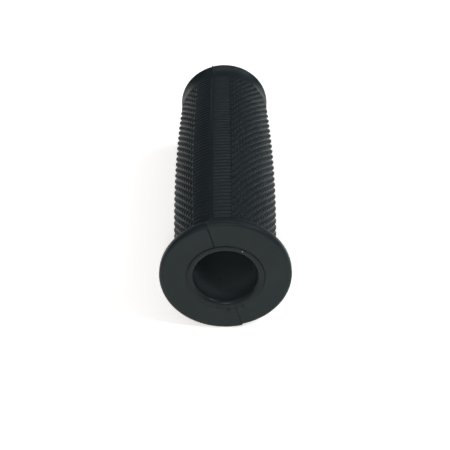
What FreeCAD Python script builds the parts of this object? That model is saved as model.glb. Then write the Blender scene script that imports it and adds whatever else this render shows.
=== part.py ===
"""Throttle grip for a 22 mm handlebar: a moulded rubber grip locked on a rigid throttle sleeve.

The origin is the centre of the bore where its straight wall starts, just inside its rounded
mouth. +Y runs along the grip to its closed outer end and +Z is up. Each body is drawn with the
flange's face at zero and moved as a whole. Millimetres and degrees.
"""
import FreeCAD, Part
import math
import os
import Sketcher

SIZES = (
    # throttle sleeve: the rigid tube that turns on the handlebar
    ("bore_radius", 11.0),
    ("tube_radius", 12.5),
    ("sleeve_end", 114.7),
    ("lip_radius", 13.55),
    ("lip_height", 0.25),
    ("mouth_round", 1.7),
    ("lip_depth", 3.0),
    ("lip_edge", 0.25),
    ("key_count", 6),
    ("key_width", 2.2),
    ("key_rise", 0.8),
    ("key_start", 8.0),
    ("key_length", 96.0),
    # rubber grip: flange, barrel and outer collar
    ("grip_length", 120.6),
    ("flange_radius", 23.1),
    ("flange_thick", 3.7),
    ("flange_root", 4.6),
    ("flange_edge", 1.3),
    ("root_fillet", 1.2),
    ("crest_radius", 19.45),
    ("crest_place", 64.6),
    ("barrel_arc", 920.0),
    ("barrel_end", 110.3),
    ("collar_foot", 110.8),
    ("collar_step", 116.4),
    ("collar_rim", 119.2),
    ("collar_radius", 18.4),
    ("foot_drop", 0.85),
    ("step_drop", 0.3),
    ("end_round", 1.3),
    # fine cross ribs in two panels each side of the mould's parting plane
    ("parting_tilt", 15.3),
    ("band_half", 3.1),
    ("panel_span", 18.5),
    ("rib_first", 6.33),
    ("rib_pitch", 2.02),
    ("rib_count", 51),
    ("rib_depth", 0.45),
    ("rib_land", 0.15),
)


class Dim:
    """A size worked out from the sheet: its value now and the expression that keeps it bound."""

    def __init__(self, value, text):
        self.value = value
        self.text = text

    def __add__(self, other):
        other = as_dim(other)
        return Dim(self.value + other.value, f"({self.text} + {other.text})")

    def __sub__(self, other):
        other = as_dim(other)
        return Dim(self.value - other.value, f"({self.text} - {other.text})")

    def __mul__(self, other):
        other = as_dim(other)
        return Dim(self.value * other.value, f"({self.text} * {other.text})")

    def __truediv__(self, other):
        other = as_dim(other)
        return Dim(self.value / other.value, f"({self.text} / {other.text})")

    def __neg__(self):
        return Dim(-self.value, f"(0 - {self.text})")


def as_dim(size):
    """A plain number as a Dim; a Dim stays as it is."""
    return size if isinstance(size, Dim) else Dim(float(size), f"{float(size)}")


doc = FreeCAD.newDocument("throttle_grip")
sheet = doc.addObject("Spreadsheet::Sheet", "Sizes")
size = {}
for row, (alias, number) in enumerate(SIZES, start=1):
    sheet.set(f"A{row}", alias)
    sheet.set(f"B{row}", str(number))
    sheet.setAlias(f"B{row}", alias)
    size[alias] = Dim(float(number), f"Sizes.{alias}")
doc.recompute()


def barrel_radius(place):
    """Radius of the barrel's crest at a place along the grip: a shallow parabola."""
    run = place - size["crest_place"]
    return size["crest_radius"] - run * run / (size["barrel_arc"] * 2)


def origin_feature(body, role):
    """One of the body's own origin planes or axes, by its role."""
    return next(item for item in body.Origin.OriginFeatures if item.Role == role)


def new_body(label):
    """An empty body with its label, which also names its file."""
    body = doc.addObject("PartDesign::Body", label)
    body.Label = label
    return body


def new_sketch(body, name, role, offset=None):
    """An empty sketch flat on one of the body's origin planes."""
    sketch = body.newObject("Sketcher::SketchObject", name)
    sketch.AttachmentSupport = (origin_feature(body, role), [""])
    sketch.MapMode = "FlatFace"
    if offset is not None:
        sketch.AttachmentOffset = offset
    return sketch


def draw_outline(sketch, corners, arcs=None):
    """A closed outline through corners, each held from the origin by two bound distances.

    arcs gives the radius of the side that starts at a corner, where it isn't straight; the arc
    bulges to the right of its direction of travel.
    """
    arcs = arcs or {}
    points = [FreeCAD.Vector(across.value, along.value, 0) for across, along in corners]
    count = len(points)
    sides = []
    for index, start in enumerate(points):
        stop = points[(index + 1) % count]
        if index in arcs:
            chord = stop - start
            radius = arcs[index].value
            bulge = radius - math.sqrt(radius ** 2 - (chord.Length / 2) ** 2)
            outward = FreeCAD.Vector(chord.y, -chord.x, 0).normalize()
            middle = (start + stop) * 0.5 + outward * bulge
            sides.append(Part.Arc(start, middle, stop))
        else:
            sides.append(Part.LineSegment(start, stop))
    sketch.addGeometry(sides, False)

    joins = []
    for index in range(count):
        following = (index + 1) % count
        leaving = 1 if index in arcs and sketch.Geometry[index].StartPoint.isEqual(
            points[following], 1e-6) else 2
        arriving = 2 if following in arcs and sketch.Geometry[following].EndPoint.isEqual(
            points[following], 1e-6) else 1
        joins.append(Sketcher.Constraint("Coincident", index, leaving, following, arriving))
    sketch.addConstraint(joins)

    for index, (across, along) in enumerate(corners):
        end = 2 if index in arcs and sketch.Geometry[index].EndPoint.isEqual(
            points[index], 1e-6) else 1
        for kind, distance in (("DistanceX", across), ("DistanceY", along)):
            number = sketch.addConstraint(
                Sketcher.Constraint(kind, -1, 1, index, end, distance.value))
            sketch.setExpression(f"Constraints[{number}]", distance.text)
    for index, radius in arcs.items():
        number = sketch.addConstraint(Sketcher.Constraint("Radius", index, radius.value))
        sketch.setExpression(f"Constraints[{number}]", radius.text)


def revolve(body, sketch, name, kind="PartDesign::Revolution"):
    """Turn an outline round the grip's axis, the sketch's own vertical axis."""
    feature = body.newObject(kind, name)
    feature.Profile = sketch
    feature.ReferenceAxis = (sketch, ["V_Axis"])
    feature.Angle = 360
    doc.recompute()
    return feature


def round_edges(body, base, name, radius, places):
    """Fillet the circular edges at the given (radius, place along the grip) pairs."""
    names = []
    for across, along in places:
        for number, edge in enumerate(base.Shape.Edges, start=1):
            curve = edge.Curve
            if isinstance(curve, Part.Circle) and abs(curve.Radius - across.value) < 1e-4 \
                    and abs(curve.Center.y - along.value) < 1e-4:
                names.append(f"Edge{number}")
    fillet = body.newObject("PartDesign::Fillet", name)
    fillet.Base = (base, names)
    fillet.setExpression("Radius", radius.text)
    doc.recompute()
    return fillet


def polar_pattern(body, feature, name, occurrences):
    """Repeat features evenly round the grip's axis."""
    pattern = body.newObject("PartDesign::PolarPattern", name)
    pattern.Originals = feature if isinstance(feature, list) else [feature]
    pattern.Axis = (origin_feature(body, "Y_Axis"), [""])
    pattern.Angle = 360
    if isinstance(occurrences, Dim):
        pattern.setExpression("Occurrences", occurrences.text)
    else:
        pattern.Occurrences = occurrences
    body.Tip = pattern
    doc.recompute()
    return pattern


def key_outline(body, name, inner):
    """The cross-section of one lengthwise key, from inner out to the key's top."""
    sketch = new_sketch(body, name, "XZ_Plane")
    sketch.setExpression("AttachmentOffset.Base.z", (-size["key_start"]).text)
    half = size["key_width"] / 2
    top = size["tube_radius"] + size["key_rise"]
    draw_outline(sketch, [(inner, -half), (top, -half), (top, half), (inner, half)])
    return sketch


def make_throttle_sleeve():
    """Rigid sleeve: open tube with a lip round its mouth and keys that lock it in the rubber."""
    body = new_body("throttle_sleeve")
    mouth = -size["lip_height"]
    outline = new_sketch(body, "sleeve_outline", "XY_Plane")
    draw_outline(outline, [
        (size["bore_radius"], mouth),
        (size["lip_radius"], mouth),
        (size["lip_radius"], size["lip_depth"]),
        (size["tube_radius"], size["lip_depth"]),
        (size["tube_radius"], size["sleeve_end"]),
        (size["bore_radius"], size["sleeve_end"]),
    ])
    tube = revolve(body, outline, "tube")
    lead_in = round_edges(body, tube, "bore_lead_in", size["mouth_round"],
                          [(size["bore_radius"], mouth)])
    edge = round_edges(body, lead_in, "lip_round", size["lip_edge"],
                       [(size["lip_radius"], mouth)])
    body.Tip = edge

    key = body.newObject("PartDesign::Pad", "key")
    key.Profile = key_outline(body, "key_outline", size["tube_radius"] - 0.5)
    key.Reversed = True
    key.setExpression("Length", size["key_length"].text)
    doc.recompute()
    polar_pattern(body, key, "keys", size["key_count"])
    return body


def rib_comb(body, side):
    """The outline that leaves one panel of fine cross ribs, turned to that panel's middle."""
    middle = (size["band_half"] + size["panel_span"] / 2) * side
    sketch = new_sketch(body, "ribs_left_outline" if side < 0 else "ribs_right_outline", "XY_Plane",
                        FreeCAD.Placement(FreeCAD.Vector(), FreeCAD.Rotation(
                            FreeCAD.Vector(0, 1, 0), middle.value)))
    sketch.setExpression("AttachmentOffset.Rotation.Angle", middle.text)
    clear = size["crest_radius"] + 2
    pitch = size["rib_pitch"]
    corners = [(clear, size["rib_first"] - pitch / 2)]
    for rib in range(int(size["rib_count"].value)):
        crest = size["rib_first"] + pitch * rib
        valley = crest - pitch / 2
        corners.append((barrel_radius(valley) - size["rib_depth"], valley))
        corners.append((barrel_radius(crest) + size["rib_land"], crest))
    last = size["rib_first"] + pitch * (size["rib_count"] - 0.5)
    corners.append((barrel_radius(last) - size["rib_depth"], last))
    corners.append((clear, last))
    draw_outline(sketch, list(reversed(corners)))
    return sketch


def make_grip_rubber():
    """Moulded rubber: wide flange, barrel-shaped body and a collar at the closed outer end."""
    body = new_body("grip_rubber")
    axis = as_dim(0)
    outline = new_sketch(body, "grip_outline", "XY_Plane")
    foot = barrel_radius(size["collar_foot"]) - size["foot_drop"]
    step = barrel_radius(size["collar_step"]) - size["step_drop"]
    corners = [
        (size["lip_radius"], axis),
        (size["flange_radius"], axis),
        (size["flange_radius"], size["flange_thick"]),
        (barrel_radius(size["flange_root"]), size["flange_root"]),
        (barrel_radius(size["barrel_end"]), size["barrel_end"]),
        (foot, size["collar_foot"]),
        (step, size["collar_step"]),
        (size["collar_radius"], size["collar_rim"]),
        (size["collar_radius"], size["grip_length"]),
        (axis, size["grip_length"]),
        (axis, size["sleeve_end"]),
        (size["tube_radius"], size["sleeve_end"]),
        (size["tube_radius"], size["lip_depth"]),
        (size["lip_radius"], size["lip_depth"]),
    ]
    draw_outline(outline, corners, {3: size["barrel_arc"]})
    moulding = revolve(body, outline, "moulding")
    rim = round_edges(body, moulding, "flange_rim", size["flange_edge"],
                      [(size["flange_radius"], axis),
                       (size["flange_radius"], size["flange_thick"])])
    root = round_edges(body, rim, "flange_root", size["root_fillet"], [corners[3]])
    end = round_edges(body, root, "outer_end", size["end_round"],
                      [(size["collar_radius"], size["grip_length"])])
    body.Tip = end

    slot = body.newObject("PartDesign::Pocket", "key_slot")
    slot.Profile = key_outline(body, "key_slot_outline", size["tube_radius"] - 0.5)
    slot.Reversed = False
    slot.setExpression("Length", size["key_length"].text)
    doc.recompute()
    polar_pattern(body, slot, "key_slots", size["key_count"])

    for side in (-1, 1):
        word = "left" if side < 0 else "right"
        panel = body.newObject("PartDesign::Groove", f"ribs_{word}")
        panel.Profile = rib_comb(body, side)
        panel.ReferenceAxis = (panel.Profile[0], ["V_Axis"])
        panel.Midplane = True
        panel.setExpression("Angle", size["panel_span"].text)
        doc.recompute()
        polar_pattern(body, panel, f"ribs_{word}_pair", 2)
    return body


def check(bodies):
    """Stop if any object failed to recompute or any sub-part's solid isn't one valid solid."""
    failed = [item.Name for item in doc.Objects if {"Invalid", "Error"} & set(item.State)]
    if failed:
        raise RuntimeError(f"failed objects: {failed}")
    for body in bodies:
        shape = body.Shape
        if shape.isNull() or not shape.isValid() or len(shape.Solids) != 1:
            raise RuntimeError(f"{body.Label} isn't one valid solid")


sleeve = make_throttle_sleeve()
rubber = make_grip_rubber()

# The parting plane leans to the left of the top; each body is drawn with it on +X. The mouth's
# rounding ends at the origin.
for part_body in (sleeve, rubber):
    part_body.Placement = FreeCAD.Placement(
        FreeCAD.Vector(), FreeCAD.Rotation(FreeCAD.Vector(0, 1, 0), -90))
    part_body.setExpression("Placement.Rotation.Angle", "0 - 90 - Sizes.parting_tilt")
    part_body.setExpression("Placement.Base.y", "Sizes.lip_height - Sizes.mouth_round")
doc.recompute()
check((sleeve, rubber))

os.makedirs("parts", exist_ok=True)
for part_body in (sleeve, rubber):
    part_body.Shape.exportStep(f"parts/{part_body.Label}.step")
    print(part_body.Label, round(part_body.Shape.Volume / 1000, 2), "cm3",
          part_body.Shape.BoundBox)
print("overlap", round(sleeve.Shape.common(rubber.Shape).Volume, 4), "mm3")
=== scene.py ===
import math

import bpy
import numpy as np
from mathutils import Matrix, Vector


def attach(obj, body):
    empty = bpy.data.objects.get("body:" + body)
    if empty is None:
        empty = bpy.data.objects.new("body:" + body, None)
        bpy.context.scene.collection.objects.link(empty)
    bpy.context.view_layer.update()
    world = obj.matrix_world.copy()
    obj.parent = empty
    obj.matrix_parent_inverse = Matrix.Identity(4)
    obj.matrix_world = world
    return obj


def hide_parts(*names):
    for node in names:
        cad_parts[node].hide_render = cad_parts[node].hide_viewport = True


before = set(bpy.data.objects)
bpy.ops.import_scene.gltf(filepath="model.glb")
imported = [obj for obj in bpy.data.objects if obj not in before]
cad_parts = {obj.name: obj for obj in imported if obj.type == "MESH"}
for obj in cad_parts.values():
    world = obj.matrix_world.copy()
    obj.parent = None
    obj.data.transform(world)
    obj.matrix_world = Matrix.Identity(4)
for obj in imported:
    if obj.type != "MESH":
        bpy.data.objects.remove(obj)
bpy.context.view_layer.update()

# The grip's sizes are in millimetres and its angles in degrees. The scene is in metres, and so
# are the floor, the lamps and the scales of the materials.
MM = 0.001

# The grip's axis is +Y from the mouth and +Z is up. Places along it are measured from the
# flange's face, which stands a little outside the frame's origin. Angles round it are measured
# from the mould's top parting line, which leans towards -X from the top. Side 1 of the mould is
# the half towards +X, and side -1 the half towards -X.
FACE_PLACE = -1.45
PARTING_LEAN = 15.1

# Pocket that holds the sleeve
CAVITY = 12.5
CAVITY_END = 114.7
LIP_RADIUS = 13.55
LIP_DEPTH = 3.0
LIP_EDGE = 0.2

# Flange. The rows of its face are steps outside the lip, then even steps from FACE_INNER outside
# the lip to FACE_MARGIN inside the rim's rounding; a row within FACE_SLACK of the face's plane is
# one of its rows. The root curve gives heights above the barrel and places behind the flange.
FLANGE_RADIUS = 23.09
FLANGE_THICK = 3.7
RIM_FRONT = 1.15
RIM_BACK = 1.25
RING_STEPS = (LIP_EDGE, 0.5, 0.85, 1.3)
FACE_INNER = 2.0
FACE_MARGIN = 0.3
FACE_STEPS = 6
FACE_SLACK = 0.02
ROOT_CURVE = ((2.6, 0.15), (1.1, 0.3), (0.4, 0.6))

# Barrel
BODY_START = 4.9
BODY_END = 110.3
CREST = 19.45
CREST_PLACE = 64.6
BARREL_ARC = 920.0

# Collar: its foot drops from the barrel to a waist, which flares out to the end's rim. The foot
# curve gives places behind the barrel's end and radii; the waist's and the flare's ends are
# places behind it too.
COLLAR_RADIUS = 18.4
COLLAR_CREST = 119.3
WAIST_RADIUS = 17.4
WAIST_END = 4.0
WAIST_ARC = 11.2
FOOT_CURVE = ((0.15, 18.1), (0.3, 17.7), (0.6, 17.5), (1.2, 17.42), (2.3, WAIST_RADIUS),
              (WAIST_END, WAIST_RADIUS))
FLARE_START = 4.4
FLARE_END = 8.6
FLARE_STEPS = 9
END_ROUND = 1.3
END_SHARES = (0.7, 0.35)
GRIP_LENGTH = 120.6

# Fine cross ribs beside the parting plane; the first crest's place differs between the halves.
# A flat is half of a crest's width as a share of the pitch, for the knurl's pads too.
RIB_PITCH = 2.02
RIB_DEPTH = 0.42
RIB_FLAT = 0.25
RIB_FIRST = {1: 6.33, -1: 6.68}

# Rows of the body's mesh: a few come before the first rib's crest, and the rows at each end share
# out what is left between the pattern and the body's end
ROWS_PER_RIB = 4
BODY_ROWS = 208
END_ROWS = 6
ROWS_BEFORE_RIB = 2

# Ribs and knurl deepen from the body's start and fade out just past its end
FADE_IN = 1.2
FADE_OUT = 1.0
FADE_PAST = 0.5

# Diamond knurl: pads staggered on a lattice, one phase for each half of the mould
PAD_PITCH = 3.95
PAD_SPAN = 7.389
PAD_PHASE = {1: 1.44, -1: 0.25}
PAD_FIRST = 23.5
PAD_COUNT = 36
PAD_STEPS = 8
PAD_ROUND = 1.35
GROOVE_DEPTH = 0.75
PAD_FLAT = 0.16

# Angles from the parting plane: smooth band, rib panel, edge groove, smooth strip
BAND_HALF = 3.0
BAND_ANGLES = (0.3, 0.8, 1.8, BAND_HALF)
PANEL_ANGLES = (3.4, 6.7, 9.0, 10.9, 12.8, 15.0, 21.0)
EDGE_ANGLES = (21.4, 21.8, 22.2)
STRIP_END = 23.1
EDGE_DEPTH = 0.45
ANGLE_SLACK = 0.01

# A wander is three waves: its rate, the offset between the waves, and what they add up to
WAVE_RATE = 1.7
WAVE_OFFSET = 2.3
WAVE_SUM = 1.83

# Parting line: how far it drifts in degrees at places along the top, the share of that along the
# bottom, and its ripple. Then the depths of the seams that it leaves in the flange's face; the
# bottom seam's sides fade towards the rim.
SEAM_PLACES = (0, 10, 60, 75, GRIP_LENGTH)
SEAM_DRIFT = (-1.2, 1.6, 1.4, -0.9, -1.0)
SEAM_LOWER = 0.5
SEAM_RIPPLE = 0.15
SEAM_WAVE = 9.0
TOP_SEAM = 0.55
BOTTOM_SEAM = 0.75
BOTTOM_SEAM_SIDE = 0.4
BOTTOM_SEAM_FADE = 0.5

# Flash standing on the parting line: where it starts behind the face, its height on the flange
# and on the body, its raggedness, and what it gains on the far stretch. Then beads of (place,
# half-width, height) at the rim, the end and the collar's foot.
FLASH_START = 0.3
FLASH_FLANGE = 0.05
FLASH_HEIGHT = 0.06
FLASH_RAGGED = 0.05
FLASH_WAVE = 1.3
FLASH_GAIN = 0.16
FLASH_FAR = (60, 72)
RIM_BEAD = (2.0, 0.9, 0.36)
END_BEAD = (GRIP_LENGTH - 1.5, 0.8, 0.38)
FOOT_BEAD = (BODY_END + 0.3, 0.9, 0.2)

# The mould's halves don't quite meet: the slip between them at places along the grip, and the
# step in the flange, which ends on the back of its rim
SLIP_PLACES = (0, 4, 12, GRIP_LENGTH)
SLIP = (0.3, 0.3, 0.05, 0.05)
STEP_HEIGHT = 0.12
STEP_END = 3.2

# Web behind the rim at the top seam
WEB_START = FLANGE_THICK - 0.3
WEB_TOP = FLANGE_RADIUS - 0.4
WEB_END = 11.8

# Torn spots each side of the bottom seam: their angle from it, and their half-widths by side
TEAR_FOLD = 10.9
TEAR_WIDTH = {-1: 3.6, 1: 1.7}
TEAR_DEPTH = 1.3
TEAR_REACH = 1.6

# Rubber beside the lip: depth of the gap below it and rise above it
RING_GAP = 0.45
RING_RISE = 0.10

# Colours of the surfaces
RUBBER_DARK = (0.0090, 0.0145, 0.0162)
RUBBER_LIGHT = (0.0125, 0.0190, 0.0208)
DUST_TONE = (0.06, 0.065, 0.065)
PLASTIC_DARK = (0.0085, 0.0130, 0.0142)
PLASTIC_LIGHT = (0.0115, 0.0165, 0.0180)
# Painted light: a pale tone for the bore, far lighter than the plastic, standing in for light
# inside it
PAINTED_BORE_LIGHT = (0.064, 0.075, 0.079)
SPECK_TONE = (0.20, 0.22, 0.22)
FLOOR_GLOW = (1.0, 0.955, 0.91, 1.0)
FLOOR_TONE_SPREAD = 0.01

# Most of a noise texture's factor lies between these
NOISE_LOW = 0.3
NOISE_HIGH = 0.7

# Depth of the moulded grain on both materials
GRAIN_DEPTH = 0.02

# Dust specks are the middles of a few random cells: cells per metre, a speck's radius in cells,
# and the share of the cells that stay clean
DUST_CELLS = 420.0
DUST_RADIUS = 0.13
DUST_CLEAN = 0.996

# The sleeve's bore is painted lighter between two places, as painted light deeper inside it;
# places are measured from the frame's origin as the pale speck on its lip is
BORE_LIGHT_SPAN = (-1.2, 7.0)
SPECK_PLACE = (5.7, -1.7, 11.5)
SPECK_OUTER = 0.34
SPECK_INNER = 0.14

# Colours of the lamps
WHITE = (1, 1, 1)
COOL = (0.92, 0.97, 1.0)
SKY = (0.78, 0.92, 1.0)

# Lamps: direction from the grip, distance, place aimed at along the axis, width and height, power
# in watts, colour
LAMPS = {
    "overhead": ((0.60, -0.28, 0.75), 1.3, 0.05, (0.22, 0.22), 3.8, COOL),
    "window": ((0.66, 0.48, 0.58), 1.3, 0.03, (0.50, 0.40), 2.1, SKY),
    "soft_top": ((0.10, 0.48, 0.88), 1.3, 0.10, (1.30, 0.32), 3.6, WHITE),
    "front": ((-0.02, -0.85, 0.53), 1.2, 0.0, (0.12, 0.12), 3.2, COOL),
    "side": ((0.92, -0.38, 0.22), 1.3, 0.03, (0.80, 0.80), 2.6, COOL),
    "fill": ((-0.50, -0.50, 0.72), 1.5, 0.03, (1.60, 1.60), 5.2, WHITE),
}


def crest_radius(place):
    """Radius of the barrel's crest at a place along the grip."""
    return CREST - (place - CREST_PLACE) ** 2 / (2 * BARREL_ARC)


def smooth(share):
    """Ease from 0 to 1."""
    share = np.clip(share, 0.0, 1.0)
    return share * share * (3 - 2 * share)


def half_angles():
    """Column angles of one half of the mould, from one parting line to the other."""
    edge = list(BAND_ANGLES + PANEL_ANGLES + EDGE_ANGLES) + [STRIP_END]
    step = PAD_SPAN / PAD_STEPS
    knurl = [PAD_FIRST + step * i for i in range(PAD_COUNT // 2 * PAD_STEPS + 1)]
    return edge + knurl + [180 - angle for angle in reversed(edge)]


def columns():
    """Every column round the grip: its angle from the parting plane, and its half of the mould."""
    half = half_angles()
    angles = [0.0] + half + [180.0] + list(reversed(half))
    sides = [1] * (len(half) + 1) + [-1] * (len(half) + 1)
    return np.array(angles), np.array(sides)


def wave(values, seed, scale):
    """A smooth repeatable wander of about -1 to 1 along a line of values."""
    total = np.zeros_like(values, dtype=float)
    for octave in range(1, 4):
        turn = values / scale * octave * WAVE_RATE + seed * (octave + WAVE_OFFSET)
        total += np.sin(turn) / octave
    return total / WAVE_SUM


def from_crest(turns):
    """Distance from the nearest crest, both in pitches."""
    return np.abs(turns - np.round(turns))


def valley(distance, flat):
    """Share of a groove's depth: 0 on a crest's flat, and 1 midway between two crests."""
    return np.clip((distance - flat) / (0.5 - flat), 0, 1)


def knurl_depth(place, angle, phase):
    """Share of the diamond knurl's depth: 0 on a pad's middle, and 1 in a groove."""
    along = (place - phase) / PAD_PITCH
    around = (angle - PAD_FIRST) / PAD_SPAN
    distance = np.maximum(from_crest(along + around), from_crest(along - around))
    return valley(distance, PAD_FLAT) ** PAD_ROUND


def body_places(angles, sides):
    """Place along the grip of each body row in each column.

    Rows follow the ribs in the rib panels and the pads in the knurl, and shear between them in
    the smooth strip, so that both patterns fall on the mesh's own lines.
    """
    rows = np.arange(BODY_ROWS + 1)
    fold = np.minimum(angles, 180 - angles)
    share = smooth((fold - EDGE_ANGLES[0]) / (PAD_FIRST - EDGE_ANGLES[0]))
    places = np.empty((len(rows), len(angles)))
    for side in (1, -1):
        rib = RIB_FIRST[side] + RIB_PITCH / ROWS_PER_RIB * (rows - ROWS_BEFORE_RIB)
        step = PAD_PITCH / PAD_STEPS
        middle = BODY_ROWS // 2
        offset = round((rib[middle] - PAD_PHASE[side]) / step) - middle
        pad = PAD_PHASE[side] + step * (rows + offset)
        for line in (rib, pad):
            knots = [0, END_ROWS, BODY_ROWS - END_ROWS, BODY_ROWS]
            marks = [BODY_START, line[END_ROWS], line[-1 - END_ROWS], BODY_END]
            outer = (rows < END_ROWS) | (rows > BODY_ROWS - END_ROWS)
            line[outer] = np.interp(rows[outer], knots, marks)
        mask = sides == side
        places[:, mask] = rib[:, None] + (pad - rib)[:, None] * share[None, mask]
    return places


def body_radii(places, angles, sides):
    """Radius of each body vertex: barrel crest less ribs, knurl and edge grooves."""
    fold = np.minimum(angles, 180 - angles)
    radii = crest_radius(places)
    fade = smooth((places - BODY_START) / FADE_IN)
    fade *= smooth((BODY_END + FADE_PAST - places) / FADE_OUT)
    for side in (1, -1):
        mask = sides == side
        local = places[:, mask]
        angle = np.broadcast_to(angles[None, mask], local.shape)
        turn = (local - RIB_FIRST[side]) / RIB_PITCH
        in_panel = (fold[mask] >= PANEL_ANGLES[0]) & (fold[mask] <= PANEL_ANGLES[-1])
        in_knurl = fold[mask] >= PAD_FIRST - ANGLE_SLACK
        depth = RIB_DEPTH * valley(from_crest(turn), RIB_FLAT) * in_panel[None, :]
        depth = depth + GROOVE_DEPTH * knurl_depth(local, angle, PAD_PHASE[side]) * in_knurl
        depth = depth + EDGE_DEPTH * (fold[mask] == EDGE_ANGLES[1])[None, :]
        radii[:, mask] -= depth * fade[:, mask]
    return radii


def arc_rows(centre, radius, start, stop, steps):
    """Points (radius, place) on an arc of the grip's profile, angles from straight outward."""
    turns = np.linspace(math.radians(start), math.radians(stop), steps)
    return [(centre[0] + radius * math.cos(turn), centre[1] + radius * math.sin(turn))
            for turn in turns]


def pocket_rows():
    """Profile of the pocket that holds the sleeve, from its closed end out to the face."""
    return [(CAVITY, CAVITY_END), (CAVITY, LIP_DEPTH), (LIP_RADIUS, LIP_DEPTH),
            (LIP_RADIUS, LIP_EDGE), (LIP_RADIUS + 0.4 * LIP_EDGE, 0.2 * LIP_EDGE)]


def flange_rows():
    """Profile of the flange's face, its rim and its back down to the barrel."""
    flat_end = FLANGE_RADIUS - RIM_FRONT
    back = (FLANGE_RADIUS - RIM_BACK, FLANGE_THICK - RIM_BACK)
    root = crest_radius(BODY_START)
    rows = [(LIP_RADIUS + step, 0.0) for step in RING_STEPS]
    rows += [(radius, 0.0)
             for radius in np.linspace(LIP_RADIUS + FACE_INNER, flat_end - FACE_MARGIN, FACE_STEPS)]
    rows += arc_rows((flat_end, RIM_FRONT), RIM_FRONT, start=-90, stop=0, steps=8)
    rows += arc_rows(back, RIM_BACK, start=0, stop=80, steps=6)
    rows += [(root + rise, FLANGE_THICK + behind) for rise, behind in ROOT_CURVE]
    return rows


def collar_rows():
    """Profile of the collar: a waist, a flared rim and the outer end's face."""
    rows = [(radius, BODY_END + step) for step, radius in FOOT_CURVE]
    rows += [(WAIST_RADIUS + (step - WAIST_END) ** 2 / (2 * WAIST_ARC), BODY_END + step)
             for step in np.linspace(FLARE_START, FLARE_END, FLARE_STEPS)]
    rows += arc_rows((COLLAR_RADIUS - END_ROUND, COLLAR_CREST), END_ROUND,
                     start=0, stop=90, steps=7)
    rows += [(COLLAR_RADIUS * share, COLLAR_CREST + END_ROUND) for share in END_SHARES]
    return rows


def seam_shift(place, top):
    """Wander of the parting line in degrees along the body, for the top or the bottom line."""
    seed = 1.0 if top else 4.0
    drift = np.interp(place, SEAM_PLACES, SEAM_DRIFT)
    return drift * (1.0 if top else SEAM_LOWER) + SEAM_RIPPLE * wave(place, seed, SEAM_WAVE)


def bead(place, centre, half_width, height):
    """Height of a rounded bead of flash."""
    return height * np.exp(-((place - centre) / half_width) ** 2)


def flash_height(place, on_body, top):
    """Height of the thin flash standing on the parting line."""
    seed = 2.0 if top else 6.0
    ragged = FLASH_HEIGHT + FLASH_RAGGED * wave(place, seed, FLASH_WAVE)
    far = smooth((place - FLASH_FAR[0]) / (FLASH_FAR[1] - FLASH_FAR[0]))
    height = np.where(on_body, ragged + FLASH_GAIN * far, FLASH_FLANGE)
    height += bead(place, *RIM_BEAD) + bead(place, *END_BEAD) + bead(place, *FOOT_BEAD) * top
    return height * np.clip(place - FLASH_START, 0, 1)


def face_marks(radii, angles, sides):
    """Depth of the marks in the flange's face: two seams and two torn spots at the ring."""
    fold = np.minimum(angles, 180 - angles)
    across = (radii - LIP_RADIUS) / (FLANGE_RADIUS - LIP_RADIUS)
    middle = fold <= BAND_ANGLES[0]
    beside = fold == BAND_ANGLES[1]
    lower = BOTTOM_SEAM * middle
    lower = lower + BOTTOM_SEAM_SIDE * beside * (1 - BOTTOM_SEAM_FADE * across)
    near_ring = np.clip(1 - (radii - LIP_RADIUS) / TEAR_REACH, 0, 1)
    for side, width in TEAR_WIDTH.items():
        spot = np.clip(1 - np.abs(fold - TEAR_FOLD) / width, 0, 1) * (sides == side)
        lower = lower + TEAR_DEPTH * near_ring * spot
    return np.where(angles < 90, TOP_SEAM * middle, lower)


def add_web(radii, places, angles, on_body):
    """Radii with the corner behind the rim filled where the top band meets the flange."""
    fold = np.minimum(angles, 180 - angles)
    web = np.interp(places, (WEB_START, WEB_END), (WEB_TOP, crest_radius(WEB_END)))
    webbed = (angles < 90) & (fold < BAND_HALF)
    behind = on_body[:, None] & webbed[None, :] & (places < WEB_END)
    return np.where(behind, np.maximum(radii, web), radii)


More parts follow.
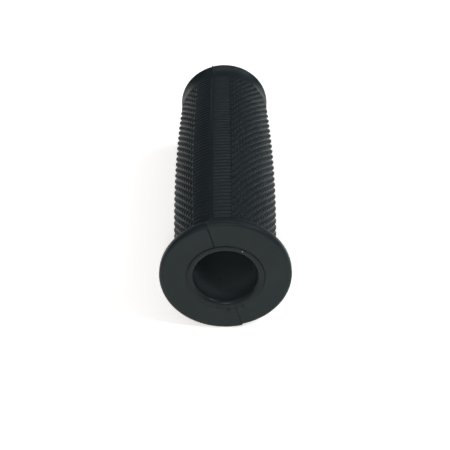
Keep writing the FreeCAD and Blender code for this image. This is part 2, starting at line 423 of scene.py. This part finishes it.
def build_rubber():
    """The moulded rubber as one closed mesh."""
    angles, sides = columns()
    width = len(angles)
    body_y = body_places(angles, sides)
    body_r = body_radii(body_y, angles, sides)
    pocket = pocket_rows()
    before = pocket + flange_rows()
    after = collar_rows()
    radii = np.vstack([np.tile([[r] for r, y in before], width), body_r,
                       np.tile([[r] for r, y in after], width)])
    places = np.vstack([np.tile([[y] for r, y in before], width), body_y,
                        np.tile([[y] for r, y in after], width)])
    rows = np.arange(len(radii))
    outer = rows >= len(pocket)
    on_face = outer & (places[:, 0] < FACE_SLACK)
    on_body = rows >= len(before) - len(ROOT_CURVE)

    # The parting line wanders, and flash stands on it everywhere but on the flange's face.
    fold = np.minimum(angles, 180 - angles)
    top = angles < 90
    near = np.clip(1 - fold / BAND_HALF, 0, 1)
    turned = np.broadcast_to(angles * sides, radii.shape).astype(float)
    for is_top in (True, False):
        mask = top == is_top
        shift = seam_shift(places[:, mask], is_top) * near[None, mask]
        turned[:, mask] += np.where(outer[:, None], shift, 0)
        crest = (fold <= BAND_ANGLES[0]) & mask
        lift = flash_height(places[:, crest], on_body[:, None], is_top)
        radii[:, crest] += np.where(outer[:, None] & ~on_face[:, None], lift, 0)

    # The pocket's edge stands proud of the lip's top and leaves a gap below its bottom.
    down = -np.cos(np.radians(angles))
    places[len(pocket) - 1] += np.where(down > 0, RING_GAP, RING_RISE) * down
    places += face_marks(radii, angles, sides) * on_face[:, None]
    radii = add_web(radii, places, angles, on_body)

    # One half slips sideways against the other, and its part of the flange stands further back.
    side_row = np.where(fold < ANGLE_SLACK, 0, sides)[None, :]
    slip = np.where(outer[:, None], np.interp(places, SLIP_PLACES, SLIP), 0) * side_row
    stepped = outer & (places[:, 0] < STEP_END)
    places = places + stepped[:, None] * np.where(side_row < 0, STEP_HEIGHT, 0)

    turns = np.radians(turned - PARTING_LEAN)
    lean = math.radians(PARTING_LEAN)
    x = radii * np.sin(turns) - slip * math.sin(lean)
    z = radii * np.cos(turns) + slip * math.cos(lean)
    points = np.stack([x, places + FACE_PLACE, z], axis=-1).reshape(-1, 3)
    vertices = [tuple(point * MM) for point in points]
    pocket_end = (0.0, (CAVITY_END + FACE_PLACE) * MM, 0.0)
    outer_end = (0.0, (GRIP_LENGTH + FACE_PLACE) * MM, 0.0)
    return make_mesh("grip_moulding", vertices + [pocket_end, outer_end], skin(radii))


def skin(radii):
    """Triangles over the grid of vertices, split along the shorter way, and its two end caps."""
    count, width = radii.shape
    faces = []
    for row in range(count - 1):
        for column in range(width):
            following = (column + 1) % width
            corner = [row * width + column, row * width + following,
                      (row + 1) * width + following, (row + 1) * width + column]
            falling = radii[row, column] + radii[row + 1, following]
            rising = radii[row, following] + radii[row + 1, column]
            if falling <= rising:
                faces.append((corner[0], corner[1], corner[2]))
                faces.append((corner[0], corner[2], corner[3]))
            else:
                faces.append((corner[0], corner[1], corner[3]))
                faces.append((corner[1], corner[2], corner[3]))
    last = (count - 1) * width
    pocket_end = count * width
    outer_end = pocket_end + 1
    for column in range(width):
        following = (column + 1) % width
        faces.append((pocket_end, following, column))
        faces.append((outer_end, last + column, last + following))
    return faces


def make_mesh(name, vertices, faces):
    """A smooth-shaded mesh object in the scene."""
    mesh = bpy.data.meshes.new(name)
    mesh.from_pydata(vertices, [], faces)
    mesh.validate()
    mesh.update()
    mesh.shade_smooth()
    piece = bpy.data.objects.new(name, mesh)
    bpy.context.scene.collection.objects.link(piece)
    return piece


def new_material(name):
    """A node material with its tree, its Principled shader and a texture coordinate node."""
    material = bpy.data.materials.new(name)
    material.use_nodes = True
    tree = material.node_tree
    shader = tree.nodes["Principled BSDF"]
    place = tree.nodes.new("ShaderNodeTexCoord")
    return material, tree, shader, place.outputs["Object"]


def noise(tree, vector, scale, detail=3.0, roughness=0.55):
    """A noise texture's factor at a scale in cells per metre."""
    node = tree.nodes.new("ShaderNodeTexNoise")
    node.inputs["Scale"].default_value = scale
    node.inputs["Detail"].default_value = detail
    node.inputs["Roughness"].default_value = roughness
    tree.links.new(vector, node.inputs["Vector"])
    return node.outputs["Fac"]


def ramp(tree, factor, dark, light):
    """A colour that goes from dark to light over a noise texture's factor."""
    node = tree.nodes.new("ShaderNodeValToRGB")
    first, last = node.color_ramp.elements
    first.position = NOISE_LOW
    first.color = (*dark, 1.0)
    last.position = NOISE_HIGH
    last.color = (*light, 1.0)
    tree.links.new(factor, node.inputs["Fac"])
    return node.outputs["Color"]


def map_range(tree, value, start, stop, low=0.0, high=1.0):
    """A value mapped from start..stop to low..high."""
    node = tree.nodes.new("ShaderNodeMapRange")
    node.inputs["From Min"].default_value = start
    node.inputs["From Max"].default_value = stop
    node.inputs["To Min"].default_value = low
    node.inputs["To Max"].default_value = high
    tree.links.new(value, node.inputs["Value"])
    return node.outputs["Result"]


def bump(tree, shader, height, strength):
    """Bump of the grain's depth on the shader's normal, from a height factor."""
    node = tree.nodes.new("ShaderNodeBump")
    node.inputs["Strength"].default_value = strength
    node.inputs["Distance"].default_value = GRAIN_DEPTH * MM
    tree.links.new(height, node.inputs["Height"])
    tree.links.new(node.outputs["Normal"], shader.inputs["Normal"])


def mix_colour(tree, factor, first, second):
    """Blend two colours by a factor; second is a plain colour."""
    node = tree.nodes.new("ShaderNodeMix")
    node.data_type = "RGBA"
    tree.links.new(factor, node.inputs["Factor"])
    tree.links.new(first, node.inputs["A"])
    node.inputs["B"].default_value = (*second, 1.0)
    return node.outputs["Result"]


def maths(tree, operation, first, second):
    """The value of an operation on an output and a number or another output."""
    node = tree.nodes.new("ShaderNodeMath")
    node.operation = operation
    tree.links.new(first, node.inputs[0])
    if isinstance(second, float):
        node.inputs[1].default_value = second
    else:
        tree.links.new(second, node.inputs[1])
    return node.outputs["Value"]


def dust_mask(tree, vector):
    """Rare tiny specks: the middles of a few Voronoi cells."""
    cells = tree.nodes.new("ShaderNodeTexVoronoi")
    cells.inputs["Scale"].default_value = DUST_CELLS
    tree.links.new(vector, cells.inputs["Vector"])
    split = tree.nodes.new("ShaderNodeSeparateColor")
    tree.links.new(cells.outputs["Color"], split.inputs["Color"])
    near = maths(tree, "LESS_THAN", cells.outputs["Distance"], DUST_RADIUS)
    rare = maths(tree, "GREATER_THAN", split.outputs["Red"], DUST_CLEAN)
    return maths(tree, "MULTIPLY", near, rare)


def speck_mask(tree, vector):
    """One round speck on the sleeve's lip, soft at its edge."""
    reach = tree.nodes.new("ShaderNodeVectorMath")
    reach.operation = "DISTANCE"
    reach.inputs[1].default_value = [place * MM for place in SPECK_PLACE]
    tree.links.new(vector, reach.inputs[0])
    return map_range(tree, reach.outputs["Value"], SPECK_OUTER * MM, SPECK_INNER * MM)


def rubber_material():
    """Black moulded rubber: faint bloom in patches, a satin skin, fine grain and dust specks."""
    material, tree, shader, vector = new_material("black_rubber")
    bloom = ramp(tree, noise(tree, vector, 90.0, detail=4.0), RUBBER_DARK, RUBBER_LIGHT)
    colour = mix_colour(tree, dust_mask(tree, vector), bloom, DUST_TONE)
    satin = map_range(tree, noise(tree, vector, 260.0), NOISE_LOW, NOISE_HIGH, low=0.36, high=0.46)
    tree.links.new(colour, shader.inputs["Base Color"])
    tree.links.new(satin, shader.inputs["Roughness"])
    shader.inputs["Specular IOR Level"].default_value = 0.19
    bump(tree, shader, noise(tree, vector, 5200.0, detail=2.0), strength=0.7)
    return material


def sleeve_material():
    """Black moulded plastic: a satin lip with one pale speck, and a bore painted lighter inwards as
    painted light.
    """
    material, tree, shader, vector = new_material("black_sleeve_plastic")
    tone = ramp(tree, noise(tree, vector, 120.0, detail=4.0), PLASTIC_DARK, PLASTIC_LIGHT)
    split = tree.nodes.new("ShaderNodeSeparateXYZ")
    tree.links.new(vector, split.inputs["Vector"])
    # Painted light: the bore is painted paler from near its mouth inwards, standing in for the
    # light inside it
    inward = map_range(tree, split.outputs["Y"], *(place * MM for place in BORE_LIGHT_SPAN))
    bore_painted_light = mix_colour(tree, inward, tone, PAINTED_BORE_LIGHT)
    colour = mix_colour(tree, speck_mask(tree, vector), bore_painted_light, SPECK_TONE)
    satin = map_range(tree, noise(tree, vector, 300.0), NOISE_LOW, NOISE_HIGH, low=0.27, high=0.33)
    tree.links.new(colour, shader.inputs["Base Color"])
    tree.links.new(satin, shader.inputs["Roughness"])
    shader.inputs["Specular IOR Level"].default_value = 0.17
    bump(tree, shader, noise(tree, vector, 2600.0), strength=0.25)
    return material


def floor_material(name, shade, glow):
    """A matt surface of one faintly uneven shade, with a glow of its own."""
    material, tree, shader, vector = new_material(name)
    tone = ramp(tree, noise(tree, vector, 3.0),
                (shade - FLOOR_TONE_SPREAD,) * 3, (shade + FLOOR_TONE_SPREAD,) * 3)
    tree.links.new(tone, shader.inputs["Base Color"])
    shader.inputs["Roughness"].default_value = 0.9
    shader.inputs["Specular IOR Level"].default_value = 0.1
    shader.inputs["Emission Color"].default_value = FLOOR_GLOW
    shader.inputs["Emission Strength"].default_value = glow
    return material


def paint(piece, material):
    """Give a piece one material in every slot."""
    if not piece.data.materials:
        piece.data.materials.append(material)
    for number in range(len(piece.data.materials)):
        piece.data.materials[number] = material


# The rubber
rubber = build_rubber()
paint(rubber, rubber_material())
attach(rubber, "root")
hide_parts("grip_rubber")

# The sleeve keeps its CAD shape
paint(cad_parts["throttle_sleeve"], sleeve_material())

# Floor: the grip lies on its flange's rim and its collar's rim, so the floor leans a little. It
# is a white sheet on a grey table.
near_rest = Vector((0, (FACE_PLACE + FLANGE_THICK / 2) * MM, -FLANGE_RADIUS * MM))
far_rest = Vector((0, (FACE_PLACE + COLLAR_CREST) * MM, -COLLAR_RADIUS * MM))
run = far_rest - near_rest


def lay_sheet(name, width, length, drop, material):
    """A flat rectangle under the grip; sizes in metres."""
    bpy.ops.mesh.primitive_plane_add(size=1.0)
    sheet = bpy.context.object
    sheet.name = name
    sheet.scale = (width, length, 1.0)
    sheet.rotation_euler = (math.atan2(run.z, run.y), 0, 0)
    sheet.location = near_rest - Vector((0, 0, drop))
    paint(sheet, material)


lay_sheet("floor_sheet", width=0.36, length=0.60, drop=0.0002,
          material=floor_material("white_sheet", shade=0.9, glow=0.57))
lay_sheet("floor_table", width=2.4, length=2.4, drop=0.0010,
          material=floor_material("grey_table", shade=0.25, glow=0.0))


def area_light(name, direction, distance, along, size_m, power, colour):
    """A soft lamp the way of a direction from the grip, aimed at a place along its axis."""
    place = Vector(direction).normalized() * distance
    aim = Vector((0, along, 0)) - place
    lamp = bpy.data.lights.new(name, "AREA")
    lamp.shape = "RECTANGLE"
    lamp.size, lamp.size_y = size_m
    lamp.energy = power
    lamp.color = colour
    holder = bpy.data.objects.new(name, lamp)
    holder.location = place
    holder.rotation_euler = aim.to_track_quat("-Z", "Y").to_euler()
    bpy.context.scene.collection.objects.link(holder)


for lamp_name, settings in LAMPS.items():
    area_light(lamp_name, *settings)

# A faint sky all round
world = bpy.data.worlds.new("studio")
world.use_nodes = True
background = world.node_tree.nodes["Background"]
background.inputs["Color"].default_value = (0.85, 0.95, 1.0, 1)
background.inputs["Strength"].default_value = 0.12
scene = bpy.context.scene
scene.world = world
scene.view_settings.view_transform = "Standard"

# Camera above the mouth end, looking along the grip and down at it
CAMERA_PLACE = Vector((-1.9, FACE_PLACE - 287.1, 235.4)) * MM
CAMERA_VIEW = Vector((0.0047, 0.8034, -0.5954)).normalized()
CAMERA_UP = Vector((0.0007, 0.595, 0.803))
camera_data = bpy.data.cameras.new("camera")
camera_data.lens = 86.0
camera_data.sensor_width = 36.0
camera = bpy.data.objects.new("camera", camera_data)
rightward = CAMERA_VIEW.cross(CAMERA_UP).normalized()
upward = rightward.cross(CAMERA_VIEW)
camera_axes = Matrix((rightward, upward, -CAMERA_VIEW)).transposed()
camera.matrix_world = Matrix.Translation(CAMERA_PLACE) @ camera_axes.to_4x4()
scene.collection.objects.link(camera)
scene.camera = camera
